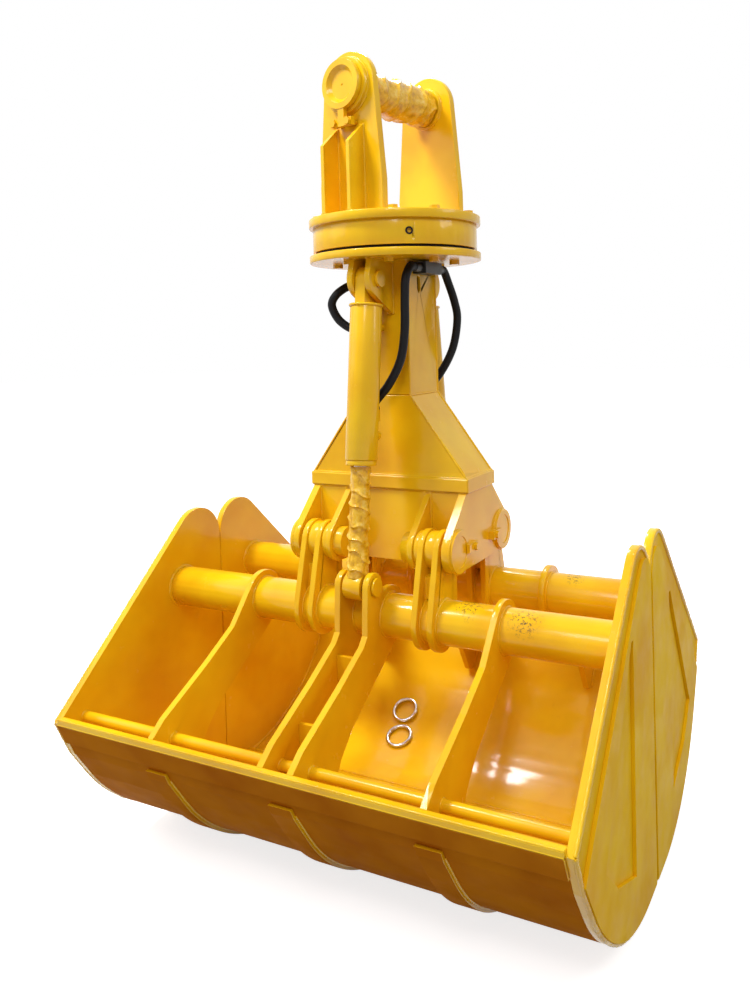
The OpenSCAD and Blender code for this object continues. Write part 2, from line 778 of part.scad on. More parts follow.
module hinge_pins() {
    color(paint) both_ends() both_jaws()
        x_rod(hinge_pin_r, gusset_x - gusset_t / 2 - pin_inner_end, skirt_half_x + pin_end_t,
            -hinge_y, hinge_z);
}

// A stepped tab that laps over the edge of the pin, and its bolt
module hinge_pin_keepers() {
    face_x = skirt_half_x + boss_ring_t;
    color(paint) both_ends() both_jaws() {
        difference() {
            union() {
                translate([face_x, -hinge_y + pin_keeper_in, hinge_z - pin_keeper_half])
                    cube([pin_keeper_t, pin_keeper_out - pin_keeper_in, 2 * pin_keeper_half]);
                translate([skirt_half_x, -hinge_y + hinge_eye_r + over, hinge_z - pin_keeper_half])
                    cube([boss_ring_t + over, pin_keeper_out - hinge_eye_r - over, 2 * pin_keeper_half]);
            }
            x_rod(keeper_bolt_r + weld_play, skirt_half_x - over, face_x + pin_keeper_t + over,
                pin_keeper_y, hinge_z);
        }
        x_rod(keeper_bolt_r, skirt_half_x - end_plate_t / 2 + over, face_x + pin_keeper_t + over,
            pin_keeper_y, hinge_z);
        translate([face_x + pin_keeper_t, pin_keeper_y, hinge_z]) rotate([0, 90, 0])
            cylinder(r = keeper_head_r, h = keeper_head_t, $fn = 6);
    }
}

module clevis_2d() {
    eye = [-top_pin_y, top_pin_z];
    foot = [-column_half_y, flange_bot_z - clevis_foot_drop];
    t = touch(foot, eye, clevis_eye_r, true);
    difference() {
        union() {
            translate(eye) circle(r = clevis_eye_r);
            polygon([[-column_half_y, flange_bot_z],
                [-column_half_y - clevis_top_out, flange_bot_z],
                eye - [clevis_eye_r, 0], t, foot]);
        }
        translate(eye) circle(r = cyl_pin_r + weld_play);
    }
}

module cylinder_clevises() {
    color(paint) both_jaws() both_ends() side_view(clevis_x, clevis_t) clevis_2d();
}

module cylinder_top_pins() {
    color(steel) both_jaws() {
        x_rod(cyl_pin_r, -top_pin_half, top_pin_half, -top_pin_y, top_pin_z);
        both_ends() x_rod(top_head_r, clevis_x + clevis_t / 2 + face_play, top_pin_half,
            -top_pin_y, top_pin_z);
    }
}

module ferrules(x, z) {
    both_jaws() y_rod(ferrule_r, -block_half_y - ferrule_l, -block_half_y, x, z);
}

module hose_manifolds() {
    color(steel) {
        translate([column_half_x, -block_half_y, right_tail_z - block_h / 2])
            cube([2 * block_half_x, 2 * block_half_y, block_h]);
        translate([-column_half_x - 2 * block_half_x, -block_half_y, left_tail_z - block_h / 2])
            cube([2 * block_half_x, 2 * block_half_y, block_h]);
        ferrules(block_x, right_tail_z);
        ferrules(-block_x, left_tail_z);
    }
}

// Jaws: side views with Y from the seam and the height above the keel

// The inside of the bowl below its rim, drawn in by i from the outer face
module bowl_2d(i) {
    polygon([rim_corner(i), strip_corner(i), flank_foot(i), [-keel_l, i], [-half_seam, i],
        [-half_seam, jaw_depth]]);
    keel_arc(i);
}

// The arc between the keel and the flank
module keel_arc(i) {
    intersection() {
        translate(bowl_mid) circle(r = bowl_r - i, $fn = fine_fn);
        translate([flank_foot(i)[0], -jaw_depth])
            square([-keel_l - flank_foot(i)[0], jaw_depth + flank_foot(i)[1]]);
    }
}

module side_2d() {
    t = touch(rim_corner(0), tip_at, tip_r, true);
    bowl_2d(0);
    translate(tip_at) circle(r = tip_r);
    polygon([strip_foot, rim_corner(0), t, tip_at, [-half_seam, tip_at[1]],
        [-half_seam, flank_foot(0)[1]], flank_foot(0)]);
}

module overlay_2d() {
    t = touch(overlay_cut[0], overlay_tip_at, overlay_tip_r, true);
    edge = -half_seam - overlay_inset;
    difference() {
        union() {
            translate(overlay_tip_at) circle(r = overlay_tip_r);
            polygon([overlay_cut[0], t, overlay_tip_at, [edge, tip_at[1]], [edge, overlay_inset],
                [-keel_l, overlay_inset], flank_foot(overlay_inset), overlay_cut[1]]);
            keel_arc(overlay_inset);
        }
        polygon(concat([pocket_top + [pocket_top_r, 0], pocket_top - [pocket_top_r, 0]], pocket_foot));
    }
}

module front_bowl_sheet() {
    color(paint) in_jaw() side_view(0, 2 * inner_w) difference() {
        bowl_2d(0);
        translate([0, over]) bowl_2d(sheet_t);
        bowl_2d(sheet_t);
        translate([-half_seam - edge_w, -over]) square([edge_w + over, jaw_depth + 2 * over]);
    }
}

module front_cutting_edge() {
    color(paint) in_jaw() side_view(0, 2 * inner_w) intersection() {
        difference() {
            bowl_2d(0);
            bowl_2d(edge_t);
        }
        translate([-half_seam - edge_w, -over]) square([edge_w, 3 * edge_t]);
    }
}

module front_side_plates() {
    color(paint) both_ends() in_jaw() side_view(jaw_half_w - side_t / 2, side_t) side_2d();
}

module front_side_overlays() {
    color(paint) both_ends() in_jaw() side_view(jaw_half_w + overlay_t / 2, overlay_t) overlay_2d();
}

// The lip on the rim and the band below it, drawn as one outline
module front_rim_bars() {
    lip = [-jaw_reach - rim_bar_over, jaw_depth];
    color(paint) in_jaw() side_view(0, 2 * inner_w)
        polygon([lip + [0, rim_bar_t], lip + [rim_bar_w, rim_bar_t], lip + [rim_bar_w, 0],
            rim_corner(0), rim_band_foot(0), rim_band_foot(-band_t), rim_corner(-band_t), lip]);
}

module rib_2d() {
    up = touch(rib_outer[3], tube_at, nose_r, true);
    down = touch(rib_inner[0], tube_at, nose_r, false);
    difference() {
        union() {
            translate(tube_at) circle(r = nose_r);
            intersection() {
                polygon(concat(rib_outer, [up, tube_at, down], rib_inner, [rib_foot]));
                union() {
                    bowl_2d(sheet_t);
                    translate([-jaw_reach - rim_bar_over + rim_bar_w, jaw_depth - over])
                        square([jaw_reach, jaw_depth]);
                    translate([-jaw_reach, jaw_depth + rim_bar_t]) square([jaw_reach, jaw_depth]);
                }
            }
        }
        translate(tube_at) circle(r = tube_r + weld_play);
        translate(spreader_at) circle(r = spreader_r + weld_play);
    }
}

module lever_2d() {
    difference() {
        union() {
            rib_2d();
            difference() {
                strap_2d(lever_at, lever_eye_r, lever_root, lever_root_r);
                translate(tube_at) circle(r = tube_r + weld_play);
            }
        }
        translate(lever_at) circle(r = cyl_pin_r + weld_play);
    }
}

module front_ribs() {
    color(paint) both_ends() in_jaw() side_view(rib_x, rib_t) rib_2d();
}

// The two lever plates, and two small upright plates between them, set back from their edge
module front_lever_plates() {
    color(paint) in_jaw() {
        both_ends() side_view(lever_x, rib_t) lever_2d();
        for (q = lever_plate_shares) side_view(0, 2 * (lever_x - weld_play) - rib_t)
            translate([q[0] * jaw_reach, jaw_depth + q[1] * tube_rise - lever_plate_h])
                square([lever_plate_t, lever_plate_h]);
    }
}

module front_cross_tube() {
    color(paint) in_jaw() difference() {
        x_rod(tube_r, -inner_w, inner_w, tube_at[0], tube_at[1]);
        x_rod(tube_r - tube_wall, -inner_w - over, inner_w + over, tube_at[0], tube_at[1]);
    }
}

module front_spreader_bar() {
    color(paint) in_jaw() x_rod(spreader_r, -inner_w, inner_w, spreader_at[0], spreader_at[1]);
}

module arm_2d() {
    difference() {
        strap_2d(hinge_at, hinge_eye_r, tube_at, nose_r);
        translate(hinge_at) circle(r = hinge_pin_r + pin_play);
        translate(tube_at) circle(r = tube_r + weld_play);
    }
}

// Two arm plates at each end, and the block between them
module front_hinge_arms() {
    x0 = arm_in_x + arm_t / 2;
    x1 = arm_out_x - arm_t / 2;
    mid = (hinge_at + tube_at) / 2;
    color(paint) both_ends() in_jaw() {
        side_view(arm_in_x, arm_t) arm_2d();
        side_view(arm_out_x, arm_t) arm_2d();
        side_view((x0 + x1) / 2, x1 - x0) translate(mid) square([spacer_d, spacer_h], center = true);
    }
}

module front_wear_straps() {
    color(paint) in_jaw() for (x = [-rib_x, 0, rib_x]) side_view(x, strap_w) difference() {
        bowl_2d(-strap_t);
        bowl_2d(0);
        translate([-half_seam - edge_w, -jaw_depth]) square([2 * edge_w, 3 * jaw_depth]);
        translate([-2 * jaw_reach, jaw_depth - rim_band_h - 2 * strap_t])
            square([3 * jaw_reach, jaw_depth]);
    }
}

module front_lever_pin() {
    color(steel) in_jaw() {
        x_rod(cyl_pin_r, -lever_pin_half, lever_pin_half, lever_at[0], lever_at[1]);
        both_ends() x_rod(lever_head_r, lever_pin_half - lever_head_t, lever_pin_half,
            lever_at[0], lever_at[1]);
    }
}

// Cylinders, drawn along -Z from the top pin and then leaned

module port(d) {
    y_rod(port_r, barrel_r - port_r / 2, port_y + port_r, 0, -d);
}

module front_barrel() {
    color(paint) along_cylinder() difference() {
        union() {
            x_rod(cyl_eye_r, -lug_half, lug_half, 0, 0);
            translate([-lug_half, -cyl_eye_r, -shoulder_d - over])
                cube([2 * lug_half, 2 * cyl_eye_r, shoulder_d + over]);
            translate([0, 0, -barrel_end]) cylinder(r = barrel_r, h = barrel_l);
            port(cap_port_d);
            port(rod_port_d);
            x_rod(stub_r, -port_r - stub_l - over, 0, port_y, -cap_port_d);
            x_rod(ferrule_r, -port_r - stub_l - ferrule_l, -port_r - stub_l, port_y, -cap_port_d);
            translate([0, port_y, -rod_port_d]) cylinder(r = stub_r, h = port_r + stub_l + over);
            translate([0, port_y, -rod_port_d + port_r + stub_l])
                cylinder(r = ferrule_r, h = ferrule_l);
        }
        x_rod(cyl_pin_r + pin_play, -lug_half - over, lug_half + over, 0, 0);
        translate([0, 0, -barrel_end - over])
            cylinder(r = bore_r, h = barrel_l - cap_t + over);
        y_rod(oil_way_r, 0, port_y, 0, -cap_port_d);
        y_rod(oil_way_r, 0, port_y, 0, -rod_port_d);
    }
}

module front_gland() {
    color(paint) along_cylinder() difference() {
        union() {
            translate([0, 0, -barrel_end - gland_t]) cylinder(r = barrel_r - over, h = gland_t);
            translate([0, 0, -barrel_end - over])
                cylinder(r = bore_r - pin_play, h = gland_in + over);
        }
        translate([0, 0, -barrel_end - gland_t - over])
            cylinder(r = rod_r + pin_play, h = gland_t + gland_in + 2 * over);
    }
}

module front_piston() {
    color(steel) along_cylinder() difference() {
        translate([0, 0, -piston_d - piston_t]) cylinder(r = bore_r - pin_play, h = piston_t);
        translate([0, 0, -piston_d - piston_t - over])
            cylinder(r = rod_r + weld_play, h = piston_t + 2 * over);
    }
}

module front_rod() {
    color(steel) along_cylinder() difference() {
        union() {
            translate([0, 0, -cyl_l]) cylinder(r = rod_r, h = cyl_l - piston_d + over);
            x_rod(cyl_eye_r, -rod_eye_half, rod_eye_half, 0, -cyl_l);
        }
        x_rod(cyl_pin_r + eye_play, -rod_eye_half - over, rod_eye_half + over, 0, -cyl_l);
    }
}

hanger_base_plate();
hanger_ears();
ear_ribs();
slewing_outer_ring();
ring_bolts();
swivel_spool();
arm_pin();
arm_pin_keeper();
slewing_inner_ring();
slewing_balls();
slewing_seal();
lower_flange();
lower_flange_bolts();
swivel_housing();
mast_column();
mast_skirt();
hinge_box();
end_plates();
hinge_gussets();
hinge_pins();
hinge_pin_keepers();
cylinder_clevises();
cylinder_top_pins();
hose_manifolds();
front_bowl_sheet();
front_side_plates();
front_side_overlays();
front_rim_bars();
front_cutting_edge();
front_ribs();
front_lever_plates();
front_cross_tube();
front_spreader_bar();
front_hinge_arms();
front_wear_straps();
front_lever_pin();
mirror([0, 1, 0]) front_bowl_sheet();  // back_bowl_sheet
mirror([0, 1, 0]) front_side_plates();  // back_side_plates
mirror([0, 1, 0]) front_side_overlays();  // back_side_overlays
mirror([0, 1, 0]) front_rim_bars();  // back_rim_bars
mirror([0, 1, 0]) front_cutting_edge();  // back_cutting_edge
mirror([0, 1, 0]) front_ribs();  // back_ribs
mirror([0, 1, 0]) front_lever_plates();  // back_lever_plates
mirror([0, 1, 0]) front_cross_tube();  // back_cross_tube
mirror([0, 1, 0]) front_spreader_bar();  // back_spreader_bar
mirror([0, 1, 0]) front_hinge_arms();  // back_hinge_arms
mirror([0, 1, 0]) front_wear_straps();  // back_wear_straps
mirror([0, 1, 0]) front_lever_pin();  // back_lever_pin
front_barrel();
front_gland();
front_piston();
front_rod();
mirror([0, 1, 0]) front_barrel();  // back_barrel
mirror([0, 1, 0]) front_gland();  // back_gland
mirror([0, 1, 0]) front_piston();  // back_piston
mirror([0, 1, 0]) front_rod();  // back_rod
hose(cap_route);  // front_cap_hose
hose(front_rod_route);  // front_rod_hose
hose([for (p = cap_route) flip(p)]);  // back_cap_hose
hose(back_rod_route);  // back_rod_hose
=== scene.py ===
import math
import random

import bpy
from mathutils import Matrix, Vector, noise


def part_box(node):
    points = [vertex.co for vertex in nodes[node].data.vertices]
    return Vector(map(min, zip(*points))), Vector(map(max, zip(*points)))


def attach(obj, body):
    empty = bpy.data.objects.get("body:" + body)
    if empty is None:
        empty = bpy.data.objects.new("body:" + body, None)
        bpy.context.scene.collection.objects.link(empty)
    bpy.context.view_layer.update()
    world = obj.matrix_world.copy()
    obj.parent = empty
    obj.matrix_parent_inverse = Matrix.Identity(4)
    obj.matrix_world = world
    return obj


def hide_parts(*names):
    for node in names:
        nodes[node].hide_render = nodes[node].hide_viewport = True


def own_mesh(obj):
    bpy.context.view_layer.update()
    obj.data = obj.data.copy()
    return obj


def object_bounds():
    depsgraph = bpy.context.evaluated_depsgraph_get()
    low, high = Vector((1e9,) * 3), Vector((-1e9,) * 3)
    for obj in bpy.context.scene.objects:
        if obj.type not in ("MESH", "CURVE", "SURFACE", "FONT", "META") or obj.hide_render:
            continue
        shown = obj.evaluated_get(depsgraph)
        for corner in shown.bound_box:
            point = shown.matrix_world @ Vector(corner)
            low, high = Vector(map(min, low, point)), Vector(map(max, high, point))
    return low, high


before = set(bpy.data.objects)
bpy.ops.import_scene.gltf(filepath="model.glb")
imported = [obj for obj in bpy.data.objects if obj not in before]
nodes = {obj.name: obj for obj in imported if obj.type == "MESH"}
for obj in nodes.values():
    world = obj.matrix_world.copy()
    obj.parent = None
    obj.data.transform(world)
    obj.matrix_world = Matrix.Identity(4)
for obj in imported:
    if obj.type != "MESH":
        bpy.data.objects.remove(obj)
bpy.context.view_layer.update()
dice = random.Random(7)
print("frame loaded:", len(nodes), "nodes")

# Places that many pieces share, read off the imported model
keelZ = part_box("front_side_plates")[0].z
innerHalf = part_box("front_cross_tube")[1].x
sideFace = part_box("front_side_plates")[1].x
hingeZ = (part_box("hinge_pins")[0].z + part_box("hinge_pins")[1].z) / 2
hingeY = -0.138
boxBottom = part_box("hinge_box")[0].z
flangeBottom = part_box("lower_flange")[0].z
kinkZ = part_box("mast_column")[0].z
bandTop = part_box("hinge_box")[1].z
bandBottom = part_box("mast_skirt")[0].z
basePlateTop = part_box("hanger_base_plate")[1].z
hangerTurn = math.radians(-12)
topPin = Vector((0, -0.152, -0.485))
rodAim = Vector((0, -0.0879, -0.7517))
cylinderLean = math.atan2(-rodAim.y, -rodAim.z)


def atHanger(p):
    return Matrix.Rotation(hangerTurn, 4, "Z") @ Vector(p)


def atCylinder(p):
    return topPin + Matrix.Rotation(-cylinderLean, 4, "X") @ Vector(p)


def mirrorY(p):
    return Vector((p[0], -p[1], p[2]))


def inJaw(x, y, up):
    return Vector((x, y, keelZ + up))


# Camera, where the photograph was taken from
photo = {"width": 750, "height": 1000, "focal": 858.21, "centre": (419.09, 360.74),
         "at": (1.1096, -2.0076, -0.6417), "yaw": 27.562, "pitch": -1.347, "roll": -1.571,
         "sensor": 36, "clip": (0.05, 200)}


def makeCamera(p):
    yaw, pitch, roll = (math.radians(p[k]) for k in ("yaw", "pitch", "roll"))
    ahead = Vector((-math.sin(yaw) * math.cos(pitch), math.cos(yaw) * math.cos(pitch), math.sin(pitch)))
    level = Vector((math.cos(yaw), math.sin(yaw), 0))
    rise = level.cross(ahead)
    right = level * math.cos(roll) + rise * math.sin(roll)
    up = rise * math.cos(roll) - level * math.sin(roll)
    bpy.ops.object.camera_add(location=p["at"])
    camera = bpy.context.object
    camera.name = "photoCamera"
    camera.matrix_world = Matrix.Translation(p["at"]) @ Matrix((right, up, -ahead)).transposed().to_4x4()
    camera.data.sensor_width = p["sensor"]
    camera.data.lens = p["sensor"] * p["focal"] / p["height"]
    camera.data.shift_x = (p["width"] / 2 - p["centre"][0]) / p["height"]
    camera.data.shift_y = (p["centre"][1] - p["height"] / 2) / p["height"]
    camera.data.clip_start, camera.data.clip_end = p["clip"]
    bpy.context.scene.camera = camera


makeCamera(photo)
print("camera set")


# Materials
def newMaterial(name, **sockets):
    material = bpy.data.materials.new(name)
    material.use_nodes = True
    shader = material.node_tree.nodes["Principled BSDF"]
    for socket, value in sockets.items():
        shader.inputs[socket.replace("_", " ")].default_value = value
    return material, material.node_tree, shader


def addNode(tree, kind, **values):
    node = tree.nodes.new(kind)
    for name, value in values.items():
        if name in node.inputs:
            node.inputs[name].default_value = value
        else:
            setattr(node, name, value)
    return node


def objectPlace(tree):
    return tree.nodes.new("ShaderNodeTexCoord").outputs["Object"]


def noiseField(tree, place, scale, detail=3.0, rough=0.55):
    field = addNode(tree, "ShaderNodeTexNoise", Scale=scale, Detail=detail, Roughness=rough)
    tree.links.new(place, field.inputs["Vector"])
    return field.outputs["Fac"]


def ramp(tree, fac, stops):
    node = tree.nodes.new("ShaderNodeValToRGB")
    tree.links.new(fac, node.inputs["Fac"])
    band = node.color_ramp
    stops = list(stops)
    while len(band.elements) < len(stops):
        band.elements.new(0.5)
    for element, (spot, shade) in zip(band.elements, stops):
        element.position = spot
        element.color = shade if len(shade) == 4 else (*shade, 1)
    return node.outputs["Color"]


def between(tree, fac, low, high, fromLow=0.0, fromHigh=1.0):
    node = tree.nodes.new("ShaderNodeMapRange")
    for name, value in (("From Min", fromLow), ("From Max", fromHigh), ("To Min", low), ("To Max", high)):
        node.inputs[name].default_value = value
    tree.links.new(fac, node.inputs["Value"])
    return node.outputs["Result"]


def bump(tree, fac, strength, distance, below=None):
    node = tree.nodes.new("ShaderNodeBump")
    node.inputs["Strength"].default_value = strength
    node.inputs["Distance"].default_value = distance
    tree.links.new(fac, node.inputs["Height"])
    if below:
        tree.links.new(below, node.inputs["Normal"])
    return node.outputs["Normal"]


def mixColor(tree, fac, a, b):
    node = tree.nodes.new("ShaderNodeMix")
    node.data_type = "RGBA"
    tree.links.new(fac, node.inputs["Factor"])
    for socket, value in (("A", a), ("B", b)):
        target = [s for s in node.inputs if s.name == socket and s.type == "RGBA"][0]
        if hasattr(value, "is_linked"):
            tree.links.new(value, target)
        else:
            target.default_value = (*value, 1)
    return [s for s in node.outputs if s.type == "RGBA"][0]


# The second pair of colours, a deeper orange-brown, is painted shade for faces that look down; the "shade"
# finish that uses it is also rough and barely glossy.
paint = {"bright": (0.90, 0.550, 0.007), "deep": (0.80, 0.410, 0.004),
         "paintedShadeBright": (0.60, 0.200, 0.006), "paintedShadeDeep": (0.46, 0.130, 0.004),
         "cloud": 5.0, "cloudStops": (0.30, 0.62),
         "grain": 38.0, "wearStops": (0.60, 0.72), "wearShade": (0.42, 0.17, 0.01),
         "scratch": 160.0, "scratchStops": (0.52, 0.60), "scratchShade": (0.06, 0.04, 0.025), "core": 0.3,
         "gloss": {"IOR": 1.33, "low": 0.16, "high": 0.28},
         "side": {"IOR": 1.12, "low": 0.42, "high": 0.58},
         "shade": {"IOR": 1.08, "low": 0.60, "high": 0.75},
         "sheen": 22.0, "sheenStops": (0.3, 0.7),
         "waves": {"scale": 30.0, "strength": 0.06, "depth": 0.002},
         "peel": {"scale": 420.0, "strength": 0.10, "depth": 0.0006}}


def paintMaterial(name, scuffs=(), peelStrength=None, wear=0.0, matt="gloss", coat=0.22):
    gloss, waves, peel = paint[matt], paint["waves"], paint["peel"]
    material, tree, shader = newMaterial(
        name, Coat_Weight=coat, Coat_Roughness=0.06, Specular_IOR_Level=0.40,
        IOR=gloss["IOR"], Coat_IOR=1.4)
    place = objectPlace(tree)
    # The "shade" finish swaps in the painted shade colours.
    low, high = ("paintedShadeDeep", "paintedShadeBright") if matt == "shade" else ("deep", "bright")
    clouds = noiseField(tree, place, paint["cloud"])
    tint = ramp(tree, clouds, zip(paint["cloudStops"], (paint[low], paint[high])))
    grain = noiseField(tree, place, paint["grain"], 5.0, 0.7)
    if wear:
        dirt = ramp(tree, grain, zip(paint["wearStops"], ((0, 0, 0), (wear, wear, wear))))
        tint = mixColor(tree, dirt, tint, paint["wearShade"])
    for spot, radius in scuffs:
        away = addNode(tree, "ShaderNodeVectorMath", operation="DISTANCE")
        away.inputs[1].default_value = spot
        tree.links.new(place, away.inputs[0])
        near = between(tree, away.outputs["Value"], 1.0, 0.0, radius * paint["core"], radius)
        scratch = between(tree, noiseField(tree, place, paint["scratch"], 6.0, 0.75), 0.0, 1.0,
                          *paint["scratchStops"])
        both = addNode(tree, "ShaderNodeMath", operation="MULTIPLY")
        tree.links.new(near, both.inputs[0])
        tree.links.new(scratch, both.inputs[1])
        tint = mixColor(tree, both.outputs[0], tint, paint["scratchShade"])
    tree.links.new(tint, shader.inputs["Base Color"])
    sheen = noiseField(tree, place, paint["sheen"], 4.0)
    tree.links.new(between(tree, sheen, gloss["low"], gloss["high"], *paint["sheenStops"]),
                   shader.inputs["Roughness"])
    swells = bump(tree, noiseField(tree, place, waves["scale"], 2.0), waves["strength"], waves["depth"])
    skin = bump(tree, noiseField(tree, place, peel["scale"], 2.0), peelStrength or peel["strength"],
                peel["depth"], swells)
    tree.links.new(skin, shader.inputs["Normal"])
    tree.links.new(skin, shader.inputs["Coat Normal"])
    return material


steel = {"dull": 0.72, "cloud": 14.0, "cloudStops": (0.25, 0.7), "strength": 0.12, "depth": 0.0004}


def steelMaterial(name, shade, low, high, streak):
    material, tree, shader = newMaterial(name, Metallic=1.0)
    place = objectPlace(tree)
    dull = tuple(c * steel["dull"] for c in shade)
    clouds = noiseField(tree, place, steel["cloud"], 5.0)
    tree.links.new(ramp(tree, clouds, zip(steel["cloudStops"], (dull, shade))),
                   shader.inputs["Base Color"])
    brushed = noiseField(tree, place, streak, 3.0)
    tree.links.new(between(tree, brushed, low, high), shader.inputs["Roughness"])
    tree.links.new(bump(tree, brushed, steel["strength"], steel["depth"]), shader.inputs["Normal"])
    return material


rubber = {"dust": 60.0, "dustStops": (0.35, 0.8), "pale": 1.6, "spread": 0.2,
          "grain": 260.0, "strength": 0.6, "depth": 0.0012}


def rubberMaterial(name, shade, rough):
    material, tree, shader = newMaterial(name, Specular_IOR_Level=0.3, IOR=1.3)
    place = objectPlace(tree)
    pale = tuple(c * rubber["pale"] for c in shade)
    dust = noiseField(tree, place, rubber["dust"], 4.0)
    tree.links.new(ramp(tree, dust, zip(rubber["dustStops"], (shade, pale))),
                   shader.inputs["Base Color"])
    tree.links.new(between(tree, dust, rough, rough + rubber["spread"]), shader.inputs["Roughness"])
    grain = noiseField(tree, place, rubber["grain"], 2.0)
    tree.links.new(bump(tree, grain, rubber["strength"], rubber["depth"]), shader.inputs["Normal"])
    return material


# Film tone: patchy yellow overspray from one noise field; its darkest stop is painted shade standing in
# for shade in the creases.
wrap = {"foldToneAndCreaseShade": 55.0, "foldToneAndCreaseShadeStops": (0.30, 0.50, 0.72),
        "filmTonesAndCreaseShade": ((0.50, 0.22, 0.006), (0.84, 0.47, 0.012), (0.92, 0.66, 0.12)),
        "low": 0.12, "high": 0.38, "creases": 130.0, "strength": 0.55, "depth": 0.002}


def filmMaterial(name):
    material, tree, shader = newMaterial(
        name, Coat_Weight=0.45, Coat_Roughness=0.05, Specular_IOR_Level=0.4, IOR=1.33, Coat_IOR=1.4)
    place = objectPlace(tree)
    foldToneAndCreaseShade = noiseField(tree, place, wrap["foldToneAndCreaseShade"], 6.0, 0.65)
    tree.links.new(ramp(tree, foldToneAndCreaseShade, zip(wrap["foldToneAndCreaseShadeStops"], wrap["filmTonesAndCreaseShade"])), shader.inputs["Base Color"])
    tree.links.new(between(tree, foldToneAndCreaseShade, wrap["low"], wrap["high"]), shader.inputs["Roughness"])
    creases = bump(tree, noiseField(tree, place, wrap["creases"], 4.0, 0.7), wrap["strength"],
                   wrap["depth"])
    tree.links.new(creases, shader.inputs["Normal"])
    tree.links.new(creases, shader.inputs["Coat Normal"])
    return material


frontScuffs = [((0.273, -0.180, -1.272), 0.045), ((0.416, -0.195, -1.280), 0.050)]
backScuffs = [((0.426, 0.150, -1.270), 0.035)]
yellowPaint = paintMaterial("glossYellowPaint")
bowlPaint = paintMaterial("bowlPaint", wear=0.10, coat=0.6)
# Faces that look down on the bowl pieces get a deeper orange: painted shade under the bowl.
paintedShadeUndersidePaint = paintMaterial("paintedShadeUndersidePaint", wear=0.15, matt="shade", coat=0.0)
sidePaint = paintMaterial("sidePlatePaint", wear=0.06, matt="side", coat=0.0)
tubePaint = paintMaterial("scuffedTubePaint", scuffs=frontScuffs + backScuffs)
weldPaint = paintMaterial("paintedWeld", peelStrength=0.5)
bareSteel = steelMaterial("turnedSteel", (0.56, 0.56, 0.57), 0.22, 0.42, 220.0)
brightSteel = steelMaterial("zincRing", (0.78, 0.78, 0.80), 0.12, 0.28, 300.0)
darkSteel = steelMaterial("darkFittings", (0.06, 0.058, 0.055), 0.30, 0.50, 160.0)
hoseRubber = rubberMaterial("hoseRubber", (0.007, 0.007, 0.008), 0.38)
sealRubber = rubberMaterial("sealRubber", (0.010, 0.010, 0.010), 0.55)
wrapFilm = filmMaterial("wrappingFilm")
print("materials made")


# CAD nodes: finish and rounded edges
edgeRounding = {"usual": 0.0022, "segments": 2, "angle": 38, "merge": 0.00002,
                "special": {"mast_skirt": 0.0045, "mast_column": 0.003,
                            "front_rod": 0.001, "back_rod": 0.001, "slewing_balls": 0,
                            "front_cross_tube": 0.001, "back_cross_tube": 0.001,
                            "front_spreader_bar": 0, "back_spreader_bar": 0}}
finishes = {"front_cross_tube": tubePaint, "back_cross_tube": tubePaint, "front_bowl_sheet": bowlPaint,
            "back_bowl_sheet": bowlPaint, "front_cutting_edge": bowlPaint, "back_cutting_edge": bowlPaint,
            "front_side_overlays": sidePaint, "back_side_overlays": sidePaint,
            "slewing_seal": sealRubber, "arm_pin": yellowPaint, "cylinder_top_pins": yellowPaint,
            "hose_manifolds": darkSteel, "swivel_spool": bareSteel, "swivel_housing": bareSteel,
            "slewing_inner_ring": bareSteel, "slewing_balls": bareSteel, "front_lever_pin": yellowPaint,
            "back_lever_pin": yellowPaint, "front_piston": bareSteel, "back_piston": bareSteel,
            "front_rod": brightSteel, "back_rod": brightSteel}


# The second finish of a node goes on the faces that its test picks
faceLimit = {"down": -0.15, "sideways": 0.9, "upright": 0.5, "rodEye": 0.043,
             "mastX": 0.067, "mastY": 0.071}


# Faces whose normal points down; these take the painted shade finish.
def looksDownIntoPaintedShade(face):
    return face.normal.z < faceLimit["down"]


def atRodEye(face):
    eye = atCylinder((0, 0, -rodAim.length))
    return min((face.center - p).length for p in (eye, mirrorY(eye))) < faceLimit["rodEye"]


def outerSide(face):
    side = math.copysign(1, face.center.x)
    return side * face.normal.x > faceLimit["sideways"] and side * face.center.x > innerHalf


# Upright inner walls of the hollow mast column; they take the black seal rubber as painted shade, though
# the column is steel inside.
def paintedShadeInMast(face):
    upright = abs(face.normal.z) < faceLimit["upright"]
    return upright and abs(face.center.x) < faceLimit["mastX"] and abs(face.center.y) < faceLimit["mastY"]


secondFinishes = {
    "mast_column": (paintedShadeInMast, sealRubber),
    **{side + piece: (looksDownIntoPaintedShade, paintedShadeUndersidePaint) for side in ("front_", "back_")
       for piece in ("bowl_sheet", "cutting_edge", "wear_straps", "rim_bars")},
    "front_side_plates": (outerSide, sidePaint), "back_side_plates": (outerSide, sidePaint),
    "front_rod": (atRodEye, yellowPaint), "back_rod": (atRodEye, yellowPaint)}


def finishNode(name, node):
    node.data.materials.clear()
    node.data.materials.append(finishes.get(name, yellowPaint))
    if name in secondFinishes:
        picks, second = secondFinishes[name]
        node.data.materials.append(second)
        for face in node.data.polygons:
            face.material_index = 1 if picks(face) else 0
    width = edgeRounding["special"].get(name, edgeRounding["usual"])
    if not width:
        return
    weld = node.modifiers.new("closeEdges", "WELD")
    weld.merge_threshold = edgeRounding["merge"]
    rounding = node.modifiers.new("roundEdges", "BEVEL")
    rounding.width = width
    rounding.segments = edgeRounding["segments"]
    rounding.limit_method = "ANGLE"
    rounding.angle_limit = math.radians(edgeRounding["angle"])
    rounding.harden_normals = True


for name, node in nodes.items():
    if not name.endswith("_hose"):
        finishNode(name, node)
print("nodes finished")


# Helpers for new pieces
def deselectAll():
    if bpy.context.mode != "OBJECT":
        bpy.ops.object.mode_set(mode="OBJECT")
    bpy.ops.object.select_all(action="DESELECT")


